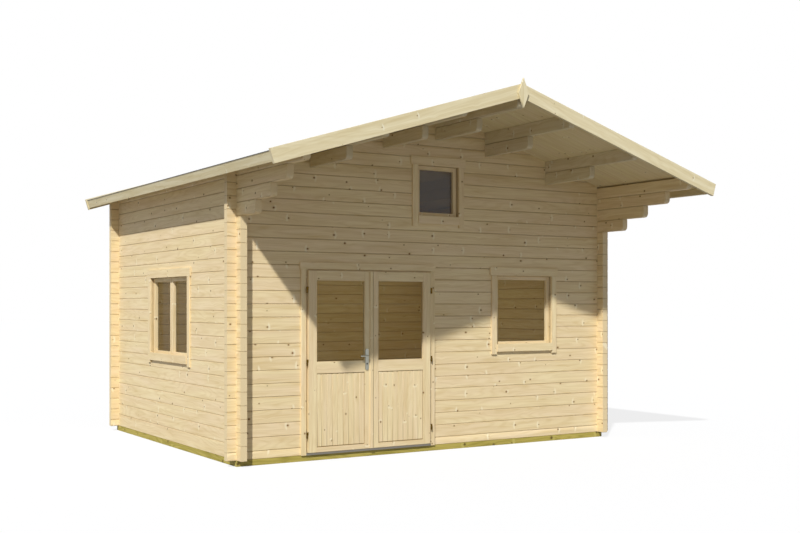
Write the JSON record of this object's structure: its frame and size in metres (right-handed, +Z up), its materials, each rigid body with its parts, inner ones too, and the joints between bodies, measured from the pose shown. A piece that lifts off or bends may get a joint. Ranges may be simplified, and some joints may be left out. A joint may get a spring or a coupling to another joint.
{
  "type": "log cabin",
  "caption": "Log cabin with a low gabled roof carried far out over the front on stepped bracket logs, a half-glazed double door and small casement windows.",
  "frame": {"origin": "on the ground at the centre of the log walls, in the underside of the middle floor joist", "axes": "+X to the right along the front, +Y to the rear, +Z up"},
  "size_m": [5.479, 5.5793, 3.8491],
  "materials": {
    "treated_timber": "pressure-treated softwood, sawn",
    "floor_boards": "planed spruce floor boards",
    "log_timber": "planed spruce logs",
    "roof_boards": "planed spruce matchboard",
    "roofing_felt": "mineral-faced bitumen felt",
    "planed_boards": "planed spruce boards",
    "threshold_metal": "extruded, satin",
    "hinge_steel": "yellow-passivated steel, dulled",
    "handle_metal": "satin anodised",
    "glass": "clear float glass"
  },
  "bodies": {
    "cabin": {"base_beams": "treated_timber", "floor_joists": "treated_timber", "floor_deck": "floor_boards", "front_wall_left": "log_timber", "front_wall_right": "log_timber", "front_wall_top": "log_timber", "front_gable": "log_timber", "back_wall": "log_timber", "back_gable": "log_timber", "left_wall": "log_timber", "left_brackets": "log_timber", "right_wall": "log_timber", "right_brackets": "log_timber", "ridge_purlin": "log_timber", "inner_purlins": "log_timber", "outer_purlins": "log_timber", "roof_deck_left": "roof_boards", "roof_deck_right": "roof_boards", "roof_felt_left": "roofing_felt", "roof_felt_right": "roofing_felt", "eave_boards": "planed_boards", "front_bargeboards": "planed_boards", "rear_bargeboards": "planed_boards", "finial": "planed_boards", "door_frame": "planed_boards", "door_casing": "planed_boards", "threshold": "threshold_metal", "frame_hinges": "hinge_steel", "front_window": "planed_boards", "front_window_glass": "glass", "front_window_casing": "planed_boards", "gable_window": "planed_boards", "gable_window_glass": "glass", "gable_window_casing": "planed_boards", "side_window": "planed_boards", "side_window_glass": "glass", "side_window_casing": "planed_boards"},
    "left_leaf": {"left_leaf": "planed_boards", "left_leaf_glass": "glass", "left_leaf_hinges": "hinge_steel", "cover_strip": "planed_boards", "lock_plate": "handle_metal"},
    "lever": {"lever": "handle_metal"},
    "right_leaf": {"right_leaf": "planed_boards", "right_leaf_glass": "glass", "right_leaf_hinges": "hinge_steel"}
  },
  "joints": [
    {"name": "left_leaf_hinge", "type": "hinge", "parent": "cabin", "child": "left_leaf", "pos_m": [-1.637, -1.937, 0.087], "axis": [0, 0, -1], "range_deg": [0, 150]},
    {"name": "right_leaf_hinge", "type": "hinge", "parent": "cabin", "child": "right_leaf", "pos_m": [-0.109, -1.937, 0.087], "axis": [0, 0, 1], "range_deg": [0, 150]},
    {"name": "lever_turn", "type": "hinge", "parent": "left_leaf", "child": "lever", "pos_m": [-0.933, -1.951, 1.066], "axis": [0, -1, 0], "range_deg": [0, 40], "stiffness_Nm_per_rad": 0.8, "springref_deg": -20.05}
  ]
}
